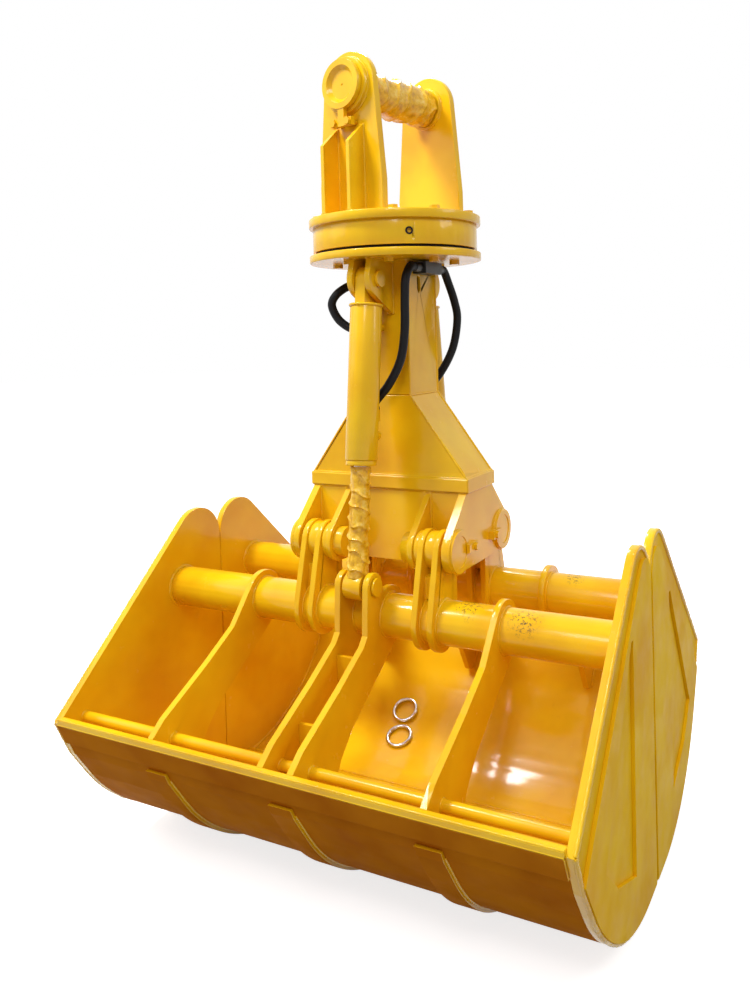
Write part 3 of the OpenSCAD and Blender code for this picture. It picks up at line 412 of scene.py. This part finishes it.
def settle(piece, name, material, body, smooth=35):
    deselectAll()
    piece.select_set(True)
    bpy.context.view_layer.objects.active = piece
    bpy.ops.object.transform_apply(location=True, rotation=True, scale=True)
    bpy.ops.object.shade_smooth_by_angle(angle=math.radians(smooth))
    piece.name = name
    piece.data.name = name
    piece.data.materials.clear()
    piece.data.materials.append(material)
    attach(piece, body)
    return piece


def joinAs(pieces):
    deselectAll()
    for piece in pieces:
        piece.select_set(True)
    bpy.context.view_layer.objects.active = pieces[0]
    bpy.ops.object.join()
    return bpy.context.view_layer.objects.active


# Hoses
hose = {"radius": 0.011, "roundness": 5, "steps": 16, "blockX": 0.094, "blockY": 0.046,
        "leftDrop": 0.062, "rightDrop": 0.020,
        "capPort": 0.112, "rodPort": 0.390, "portY": 0.062, "portRadius": 0.012, "stub": 0.024,
        "ferrule": 0.030, "tail": 0.020, "endGap": 0.0003}
# Points between the ends, in millimetres: X, Y and the depth below the lower flange
hosePoints = {"cap": [(-112, -122, 83), (-124, -126, 110), (-112, -116, 146)],
              "frontRod": [(92, -118, 50), (88, -118, 100), (84, -116, 180), (70, -116, 254),
                           (38, -122, 316)],
              "backRod": [(96, 118, 50), (112, 122, 104), (119, 122, 155), (102, 122, 234),
                          (58, 122, 306), (12, 124, 344)]}


def hoseRoutes():
    h = hose
    reach = h["portRadius"] + h["stub"] + h["ferrule"] + h["endGap"]
    startY = -h["blockY"] - h["ferrule"]
    capStart = Vector((-h["blockX"], startY, flangeBottom - h["leftDrop"]))
    rodStart = Vector((h["blockX"], startY, flangeBottom - h["rightDrop"]))
    capEnd = atCylinder((-reach, h["portY"], -h["capPort"]))
    rodEnd = atCylinder((0, h["portY"], -h["rodPort"] + reach))
    rodTail = atCylinder((0, h["portY"], -h["rodPort"] + reach + h["tail"]))
    out = Vector((0, h["tail"], 0))
    side = Vector((h["tail"], 0, 0))
    middle = {name: [Vector((x / 1000, y / 1000, flangeBottom - z / 1000)) for x, y, z in points]
              for name, points in hosePoints.items()}
    cap = [capStart, capStart - out, *middle["cap"], capEnd - side, capEnd]
    frontRod = [rodStart, rodStart - out, *middle["frontRod"], rodTail, rodEnd]
    backRod = [mirrorY(rodStart), mirrorY(rodStart) + out, *middle["backRod"],
               mirrorY(rodTail), mirrorY(rodEnd)]
    return {"front_cap_hose": cap, "front_rod_hose": frontRod,
            "back_cap_hose": [mirrorY(p) for p in cap], "back_rod_hose": backRod}


def smoothRoute(points, steps):
    ends = [2 * points[0] - points[1], *points, 2 * points[-1] - points[-2]]
    line = []
    for i in range(1, len(ends) - 2):
        a, b, c, d = ends[i - 1:i + 3]
        for k in range(steps):
            t = k / steps
            line.append((2 * b + (c - a) * t + (2 * a - 5 * b + 4 * c - d) * t ** 2
                         + (3 * b - a - 3 * c + d) * t ** 3) / 2)
    return [*line, points[-1]]


def makeHose(nodeName, points):
    line = smoothRoute(points, hose["steps"])
    curve = bpy.data.curves.new(nodeName + "_line", "CURVE")
    curve.dimensions = "3D"
    curve.bevel_depth = hose["radius"]
    curve.bevel_resolution = hose["roundness"]
    curve.use_fill_caps = True
    spline = curve.splines.new("POLY")
    spline.points.add(len(line) - 1)
    for knot, p in zip(spline.points, line):
        knot.co = (*p, 1)
    words = nodeName.split("_")
    piece = bpy.data.objects.new(words[0] + words[1].title() + words[2].title(), curve)
    bpy.context.scene.collection.objects.link(piece)
    curve.materials.append(hoseRubber)
    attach(piece, "carrier")
    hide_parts(nodeName)


for nodeName, points in hoseRoutes().items():
    makeHose(nodeName, points)
print("hoses made")


# Weld beads
bead = {"step": 0.0042, "usual": 0.0042, "thick": 0.006, "thin": 0.003, "dip": 0.80, "wobble": 0.09,
        "leastSteps": 16, "roundness": 1, "smooth": 60}


def circleRun(centre, radius, axis):
    count = max(bead["leastSteps"], int(radius * (2 * math.pi) / bead["step"]))
    across = Vector((0, 1, 0)) if axis == "x" else Vector((1, 0, 0))
    up = Vector((0, 0, 1))
    turns = (2 * math.pi * k / count for k in range(count + 1))
    return [Vector(centre) + radius * (math.cos(t) * across + math.sin(t) * up) for t in turns]


def resampled(points, step):
    points = [Vector(p) for p in points]
    total = sum((b - a).length for a, b in zip(points, points[1:]))
    count = max(2, int(total / step))
    walked = 0.0
    k = 0
    line = []
    for mark in (total * i / count for i in range(count + 1)):
        while k < len(points) - 2 and walked + (points[k + 1] - points[k]).length < mark:
            walked += (points[k + 1] - points[k]).length
            k += 1
        span = (points[k + 1] - points[k]).length
        line.append(points[k].lerp(points[k + 1], min(1.0, (mark - walked) / max(span, 1e-9))))
    return line


def weldRuns(name, body, runs):
    curve = bpy.data.curves.new(name, "CURVE")
    curve.dimensions = "3D"
    curve.bevel_depth = 1.0
    curve.bevel_resolution = bead["roundness"]
    curve.use_fill_caps = True
    for points, radius in runs:
        line = resampled(points, bead["step"])
        spline = curve.splines.new("POLY")
        spline.points.add(len(line) - 1)
        for k, (knot, p) in enumerate(zip(spline.points, line)):
            knot.co = (*p, 1)
            ripple = 1.0 if k % 2 else bead["dip"]
            knot.radius = radius * (ripple + dice.uniform(-bead["wobble"], bead["wobble"]))
    piece = bpy.data.objects.new(name, curve)
    bpy.context.scene.collection.objects.link(piece)
    deselectAll()
    piece.select_set(True)
    bpy.context.view_layer.objects.active = piece
    bpy.ops.object.convert(target="MESH")
    return settle(bpy.context.object, name, weldPaint, body, smooth=bead["smooth"])


def rectangleRun(halfX, halfY, z):
    corners = ((1, 1), (-1, 1), (-1, -1), (1, -1), (1, 1))
    return [(sx * halfX, sy * halfY, z) for sx, sy in corners]


# The bowl's side view has a flat keel, an arc, a flat flank and a steep strip under the rim
bowl = {"reach": 0.600, "depth": 0.390, "steep": 0.090, "lean": 25, "flank": 56, "keel": 0.080,
        "sheet": 0.012, "edgeStart": -0.102, "edgeTop": 0.0255, "steps": 24}
rimLean = math.radians(bowl["lean"])
flankTurn = math.radians(bowl["flank"])
stripFoot = Vector((-bowl["reach"] + bowl["steep"] * math.tan(rimLean), bowl["depth"] - bowl["steep"]))
flankWay = Vector((math.sin(flankTurn), math.cos(flankTurn)))
stripWay = Vector((math.cos(rimLean), math.sin(rimLean)))
arcRadius = -flankWay.dot(stripFoot + Vector((bowl["keel"], 0))) / (1 - flankWay.y)
cornerWay = (flankWay + stripWay) / (1 + flankWay.dot(stripWay))


# The outer line of the bowl, drawn in by i
def bowlLine(i, toRim=True, fromY=None):
    r = arcRadius - i
    start = bowl["edgeStart"] if fromY is None else fromY
    first = math.asin(max(0.0, -start - bowl["keel"]) / r)
    line = [(start, i)] if -start < bowl["keel"] else []
    turns = (first + (flankTurn - first) * k / bowl["steps"] for k in range(bowl["steps"] + 1))
    line += [(-bowl["keel"] - r * math.sin(t), arcRadius - r * math.cos(t)) for t in turns]
    line.append(tuple(stripFoot + i * cornerWay))
    if toRim:
        line.append((-bowl["reach"] + i / math.cos(rimLean), bowl["depth"]))
    return line


jaw = {"tube": (-0.162, 0.612), "tubeRadius": 0.054, "ribX": 0.350, "leverX": 0.039,
       "armX": (0.148, 0.190),
       "halfPlate": 0.008, "spreader": (-0.520, 0.378), "spreaderRadius": 0.013, "ribFootY": -0.490,
       "tip": (-0.092, 0.730), "tipRadius": 0.090, "tipSteps": 14, "seamY": -0.002, "seamUp": 0.30,
       "strapX": (-0.350, 0.0, 0.350), "strapHalf": 0.030, "lipY": -0.603, "lipUps": (0.390, 0.402),
       "edgeInset": 0.004, "topInset": 0.005, "seamStart": -0.006}


def sideOutline(inset):
    tipY, tipUp = jaw["tip"]
    r = jaw["tipRadius"] - inset
    away = math.hypot(tipY + bowl["reach"], tipUp - bowl["depth"])
    rise = math.atan2(tipUp - bowl["depth"], tipY + bowl["reach"]) + math.asin(r / away)
    reach = math.sqrt(away * away - r * r)
    touch = (-bowl["reach"] + reach * math.cos(rise), bowl["depth"] + reach * math.sin(rise))
    first = math.atan2(touch[1] - tipUp, touch[0] - tipY)
    turns = [first * (1 - k / jaw["tipSteps"]) for k in range(jaw["tipSteps"] + 1)]
    top = [(tipY + r * math.cos(t), tipUp + r * math.sin(t)) for t in turns]
    return [(-bowl["reach"] + inset, bowl["depth"]), touch, *top, (jaw["seamY"] - inset, jaw["seamUp"])]


def jawRuns():
    runs = []
    half = jaw["halfPlate"]
    ribs = (-jaw["ribX"], jaw["ribX"], -jaw["leverX"], jaw["leverX"])
    arms = tuple(s * a for s in (-1, 1) for a in jaw["armX"])

    def tubeRing(x, size):
        runs.append((circleRun(inJaw(x, *jaw["tube"]), jaw["tubeRadius"], "x"), bead[size]))

    def spreaderRing(x):
        runs.append((circleRun(inJaw(x, *jaw["spreader"]), jaw["spreaderRadius"], "x"), bead["thin"]))

    def sideRun(x, line, size):
        runs.append(([inJaw(x, *q) for q in line], bead[size]))

    def lengthRun(y, up):
        runs.append(([inJaw(-innerHalf, y, up), inJaw(innerHalf, y, up)], bead["thin"]))

    inside = bowlLine(bowl["sheet"])
    for x in (*ribs, *arms):
        for face in (x - half, x + half):
            tubeRing(face, "usual")
    for x in ribs:
        for face in (x - half, x + half):
            sideRun(face, [q for q in inside if q[0] < jaw["ribFootY"]], "thick")
            spreaderRing(face)
    for s in (-1, 1):
        tubeRing(s * innerHalf, "thick")
        sideRun(s * innerHalf, inside, "thick")
        spreaderRing(s * innerHalf)
        sideRun(s * sideFace, bowlLine(jaw["edgeInset"], fromY=jaw["seamStart"]), "thick")
        sideRun(s * sideFace, sideOutline(jaw["topInset"]), "thick")
    for x in jaw["strapX"]:
        for face in (x - jaw["strapHalf"], x + jaw["strapHalf"]):
            sideRun(face, bowlLine(0.0, toRim=False), "thin")
    for up in jaw["lipUps"]:
        lengthRun(jaw["lipY"], up)
    lengthRun(bowl["edgeStart"], bowl["edgeTop"])
    return runs


mast = {"columnX": 0.075, "columnY": 0.079, "footX": 0.226, "footY": 0.080, "bandX": 0.2255,
        "gussetFaces": (0.110, 0.126, 0.206), "clevisFaces": (0.017, 0.033), "clevisDrop": 0.138,
        "clevisOut": 0.183, "bossRadius": 0.052}


def carrierRuns():
    x, y = mast["columnX"], mast["columnY"]
    footX, footY = mast["footX"], mast["footY"]
    runs = [(rectangleRun(x, y, flangeBottom), bead["thick"]),
            (rectangleRun(footX, footY, bandTop), bead["usual"]),
            (rectangleRun(mast["bandX"], footY, bandBottom), bead["usual"])]
    for sx in (-1, 1):
        runs.append(([(sx * x, -y, kinkZ), (sx * x, y, kinkZ)], bead["thin"]))
        for sy in (-1, 1):
            kink = (sx * x, sy * y, kinkZ)
            runs.append(([(sx * x, sy * y, flangeBottom), kink], bead["thin"]))
            runs.append(([kink, (sx * footX, sy * footY, bandTop)], bead["thin"]))
            for face in mast["gussetFaces"]:
                runs.append(([(sx * face, sy * footY, z) for z in (bandBottom, boxBottom)], bead["usual"]))
            for face in mast["clevisFaces"]:
                runs.append(([(sx * face, sy * y, flangeBottom - mast["clevisDrop"]),
                              (sx * face, sy * y, flangeBottom),
                              (sx * face, sy * mast["clevisOut"], flangeBottom)], bead["usual"]))
            boss = (sx * footX, -sy * hingeY, hingeZ)
            runs.append((circleRun(boss, mast["bossRadius"], "x"), bead["usual"]))
    return runs


hanger = {"earHalf": 0.107, "earIn": 0.145, "earOut": 0.165, "ribFaces": (0.038, 0.050), "ribOut": 0.219,
          "ribTop": -0.102, "boss": 0.070, "collar": 0.054}


def hangerRuns():
    runs = []

    def hangerRun(points, size):
        runs.append(([atHanger(q) for q in points], bead[size]))

    half, near, far, foot = hanger["earHalf"], hanger["earIn"], hanger["earOut"], basePlateTop
    for sy in (-1, 1):
        for y in (near, far):
            hangerRun([(-half, sy * y, foot), (half, sy * y, foot)], "thick")
        for sx in (-1, 1):
            hangerRun([(sx * half, sy * near, foot), (sx * half, sy * far, foot)], "thick")
            for face in hanger["ribFaces"]:
                hangerRun([(sx * face, sy * hanger["ribOut"], foot), (sx * face, sy * far, foot),
                           (sx * face, sy * far, hanger["ribTop"])], "usual")
        for radius, y in ((hanger["boss"], far), (hanger["collar"], near)):
            hangerRun(circleRun((0, sy * y, 0), radius, "y"), "usual")
    return runs


barrelShoulder = {"radius": 0.040, "down": 0.0665, "steps": 60}


def shoulderRun():
    b = barrelShoulder
    turns = (2 * math.pi * k / b["steps"] for k in range(b["steps"] + 1))
    return [atCylinder((b["radius"] * math.cos(t), b["radius"] * math.sin(t), -b["down"])) for t in turns]


weldRuns("hangerWelds", "hanger", hangerRuns())
weldRuns("mastWelds", "carrier", carrierRuns())
frontRuns = jawRuns()
weldRuns("frontJawWelds", "front_jaw", frontRuns)
backRuns = [([mirrorY(p) for p in points], radius) for points, radius in frontRuns]
weldRuns("backJawWelds", "back_jaw", backRuns)
weldRuns("frontBarrelWelds", "front_barrel", [(shoulderRun(), bead["usual"])])
weldRuns("backBarrelWelds", "back_barrel", [([mirrorY(p) for p in shoulderRun()], bead["usual"])])
print("welds made")


# Turned rings between the plates at the hinges
bush = {"outer": 0.047, "inner": 0.0384, "between": (0.1565, 0.1815), "washer": (0.1265, 0.1395),
        "around": 64, "endFace": 0.9, "rounding": 0.0015, "segments": 2}


def turnedRing(outer, inner, x0, x1, y, z):
    deselectAll()
    bpy.ops.mesh.primitive_cylinder_add(vertices=bush["around"], radius=outer, depth=x1 - x0,
                                        location=(0, 0, 0))
    ring = bpy.context.object
    bpy.ops.object.mode_set(mode="EDIT")
    bpy.ops.mesh.select_mode(type="FACE")
    bpy.ops.mesh.select_all(action="DESELECT")
    bpy.ops.object.mode_set(mode="OBJECT")
    for face in ring.data.polygons:
        face.select = abs(face.normal.z) > bush["endFace"]
    bpy.ops.object.mode_set(mode="EDIT")
    bpy.ops.mesh.inset(thickness=outer - inner)
    bpy.ops.mesh.bridge_edge_loops()
    bpy.ops.object.mode_set(mode="OBJECT")
    ring.matrix_world = Matrix.Translation(((x0 + x1) / 2, y, z)) @ Matrix.Rotation(math.pi / 2, 4, "Y")
    edges = ring.modifiers.new("rounding", "BEVEL")
    edges.width = bush["rounding"]
    edges.segments = bush["segments"]
    edges.limit_method = "ANGLE"
    bpy.ops.object.modifier_apply(modifier="rounding")
    return ring


for side, s in (("front", 1), ("back", -1)):
    rings = []
    for x0, x1 in (bush["between"], bush["washer"]):
        for flipX in (-1, 1):
            low, high = sorted((flipX * x0, flipX * x1))
            rings.append(turnedRing(bush["outer"], bush["inner"], low, high, s * hingeY, hingeZ))
    settle(joinAs(rings), side + "HingeBushes", yellowPaint, side + "_jaw")
print("bushes made")

# Grease point on the slewing ring
plug = {"radius": 0.0075, "tube": 0.0022, "turn": 50, "ringRadius": 0.217, "z": -0.3745,
        "around": 40, "across": 12}
deselectAll()
bpy.ops.mesh.primitive_torus_add(major_radius=plug["radius"], minor_radius=plug["tube"],
                                 major_segments=plug["around"], minor_segments=plug["across"])
plugRing = bpy.context.object
plugTurn = Matrix.Rotation(hangerTurn + math.radians(plug["turn"]), 4, "Z")
plugPlace = plugTurn @ Vector((0, -plug["ringRadius"], plug["z"]))
plugRing.matrix_world = Matrix.Translation(plugPlace) @ plugTurn @ Matrix.Rotation(math.pi / 2, 4, "X")
settle(plugRing, "greasePointRing", sealRubber, "hanger")

# Two loose steel rings that lie in the back jaw
looseRings = {"major": 0.037, "minor": 0.0058, "around": 64, "across": 16,
              "places": [((-0.217, 0.371, -1.823), 36), ((-0.197, 0.292, -1.87), 25)]}
for k, (place, lean) in enumerate(looseRings["places"]):
    deselectAll()
    bpy.ops.mesh.primitive_torus_add(major_radius=looseRings["major"], minor_radius=looseRings["minor"],
                                     major_segments=looseRings["around"],
                                     minor_segments=looseRings["across"])
    ring = bpy.context.object
    ring.matrix_world = Matrix.Translation(place) @ Matrix.Rotation(math.radians(lean), 4, "X")
    settle(ring, "looseRing" + "AB"[k], brightSteel, "back_jaw")
print("small fittings made")


# Film wrapped round the pin and the rods
crease = {"around": 1.4, "along": 26, "bend": 1.6, "bendScale": 0.6, "base": 0.45, "lump": 0.5,
          "ridge": 0.55, "heapShare": 0.28, "columns": 96, "rowStep": 0.0022, "leastRows": 60,
          "wall": 0.0004, "merge": 0.00005, "smooth": 50}


def filmSleeve(radius, length, swell, turns, seed, heap=0.0):
    c = crease
    deselectAll()
    bpy.ops.mesh.primitive_grid_add(x_subdivisions=c["columns"], size=1,
                                    y_subdivisions=max(c["leastRows"], int(length / c["rowStep"])))
    sleeve = bpy.context.object
    for vertex in sleeve.data.vertices:
        around = (vertex.co.x + 0.5) * 2 * math.pi
        along = vertex.co.y + 0.5
        spot = Vector((math.cos(around) * c["around"], math.sin(around) * c["around"],
                       along * length * c["along"] + seed))
        lump = noise.noise(spot)
        bend = c["bend"] * noise.noise(spot * c["bendScale"])
        fold = 1 - abs(math.sin(turns * math.pi * along + around + bend))
        gathered = max(0.0, c["heapShare"] - along) / c["heapShare"]
        r = radius + swell * (c["base"] + c["lump"] * lump + c["ridge"] * fold ** 3) + heap * gathered
        vertex.co = (r * math.cos(around), r * math.sin(around), (along - 0.5) * length)
    bpy.ops.object.mode_set(mode="EDIT")
    bpy.ops.mesh.select_all(action="SELECT")
    bpy.ops.mesh.remove_doubles(threshold=c["merge"])
    bpy.ops.mesh.normals_make_consistent(inside=False)
    bpy.ops.object.mode_set(mode="OBJECT")
    wall = sleeve.modifiers.new("thickness", "SOLIDIFY")
    wall.thickness = c["wall"]
    wall.offset = 1
    bpy.ops.object.modifier_apply(modifier="thickness")
    return sleeve


pinFilmSize = {"radius": 0.0435, "length": 0.262, "swell": 0.011, "turns": 5, "seed": 3.0}
rodFilmSize = {"top": -0.4665, "foot": -0.735, "radius": 0.0192, "swell": 0.0085, "turns": 7, "seed": 11.0,
               "heap": 0.004, "kept": 0.6}
pinFilm = filmSleeve(**pinFilmSize)
pinFilm.matrix_world = Matrix.Rotation(hangerTurn, 4, "Z") @ Matrix.Rotation(math.pi / 2, 4, "X")
settle(pinFilm, "pinFilm", wrapFilm, "hanger", smooth=crease["smooth"])
for side, flip in (("front", 1), ("back", -1)):
    s = rodFilmSize
    film = filmSleeve(s["radius"], s["top"] - s["foot"], s["swell"], s["turns"], s["seed"] * flip,
                      s["heap"])
    middle = Matrix.Translation((0, 0, (s["top"] + s["foot"]) / 2))
    stand = Matrix.Translation(topPin) @ Matrix.Rotation(-cylinderLean, 4, "X") @ middle
    foot = atCylinder((0, 0, s["foot"]))
    way = (atCylinder((0, 0, 1)) - topPin).normalized()
    if flip < 0:
        stand = Matrix.Diagonal((1, -1, 1, 1)) @ stand
        foot, way = mirrorY(foot), mirrorY(way)
    film.data.transform(stand)
    if flip < 0:
        film.data.flip_normals()
    settle(film, side + "RodFilm", wrapFilm, side + "_rod", smooth=crease["smooth"])
    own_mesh(film)
print("film made")


# Floor, backdrop and light
def backgroundRay(tree):
    path = tree.nodes.new("ShaderNodeLightPath")
    seen = path.outputs["Is Camera Ray"]
    for other in ("Is Glossy Ray", "Is Transmission Ray"):
        either = addNode(tree, "ShaderNodeMath", operation="MAXIMUM")
        tree.links.new(seen, either.inputs[0])
        tree.links.new(path.outputs[other], either.inputs[1])
        seen = either.outputs[0]
    return seen


studio = {"floorSize": 60, "floorGap": 0.0002, "paleFloor": 0.80, "plainFloor": 0.34, "floorGlow": 0.76,
          "background": 1.0, "room": 0.40, "aim": (0, 0, -1.1)}


def grey(shade):
    return (shade, shade, shade, 1)


# One shader for the background's rays and another for all the rest
def rayChoice(tree, plain, seen):
    choice = tree.nodes.new("ShaderNodeMixShader")
    tree.links.new(backgroundRay(tree), choice.inputs[0])
    tree.links.new(plain.outputs[0], choice.inputs[1])
    tree.links.new(seen.outputs[0], choice.inputs[2])
    return choice.outputs[0]


def makeFloor():
    deselectAll()
    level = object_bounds()[0].z - studio["floorGap"]
    bpy.ops.mesh.primitive_plane_add(size=studio["floorSize"], location=(0, 0, level))
    floor = bpy.context.object
    floor.name = "studioFloor"
    material = bpy.data.materials.new("paleFloor")
    material.use_nodes = True
    tree = material.node_tree
    tree.nodes.clear()
    out = tree.nodes.new("ShaderNodeOutputMaterial")
    pale = addNode(tree, "ShaderNodeBsdfDiffuse", Color=grey(studio["paleFloor"]))
    plain = addNode(tree, "ShaderNodeBsdfDiffuse", Color=grey(studio["plainFloor"]))
    glow = addNode(tree, "ShaderNodeEmission", Color=grey(1), Strength=studio["floorGlow"])
    both = tree.nodes.new("ShaderNodeAddShader")
    tree.links.new(pale.outputs[0], both.inputs[0])
    tree.links.new(glow.outputs[0], both.inputs[1])
    tree.links.new(rayChoice(tree, plain, both), out.inputs["Surface"])
    floor.data.materials.append(material)


def makeWorld():
    world = bpy.data.worlds.new("studio")
    bpy.context.scene.world = world
    world.use_nodes = True
    tree = world.node_tree
    tree.nodes.clear()
    out = tree.nodes.new("ShaderNodeOutputWorld")
    white = addNode(tree, "ShaderNodeBackground", Color=grey(1), Strength=studio["background"])
    room = addNode(tree, "ShaderNodeBackground", Color=grey(1), Strength=studio["room"])
    tree.links.new(rayChoice(tree, room, white), out.inputs["Surface"])


lamps = [{"name": "keySoftbox", "at": (1.2, -3.0, 1.9), "size": 1.2, "power": 50},
         {"name": "overheadFront", "at": (-1.35, -1.25, 2.1), "size": 0.8, "power": 105},
         {"name": "overheadBack", "at": (-1.1, 1.9, 2.0), "size": 0.8, "power": 70},
         {"name": "rightWindow", "at": (3.2, 0.4, 1.0), "size": 1.2, "power": 26},
         {"name": "leftFill", "at": (-3.0, -1.8, 0.6), "size": 2.0, "power": 15}]


def makeLamp(lamp):
    deselectAll()
    bpy.ops.object.light_add(type="AREA", location=lamp["at"])
    light = bpy.context.object
    light.name = lamp["name"]
    light.data.energy = lamp["power"]
    light.data.size = lamp["size"]
    light.rotation_euler = (Vector(studio["aim"]) - Vector(lamp["at"])).to_track_quat("-Z", "Y").to_euler()


makeFloor()
makeWorld()
for lamp in lamps:
    makeLamp(lamp)
bpy.context.scene.view_settings.view_transform = "Standard"
print("studio made")
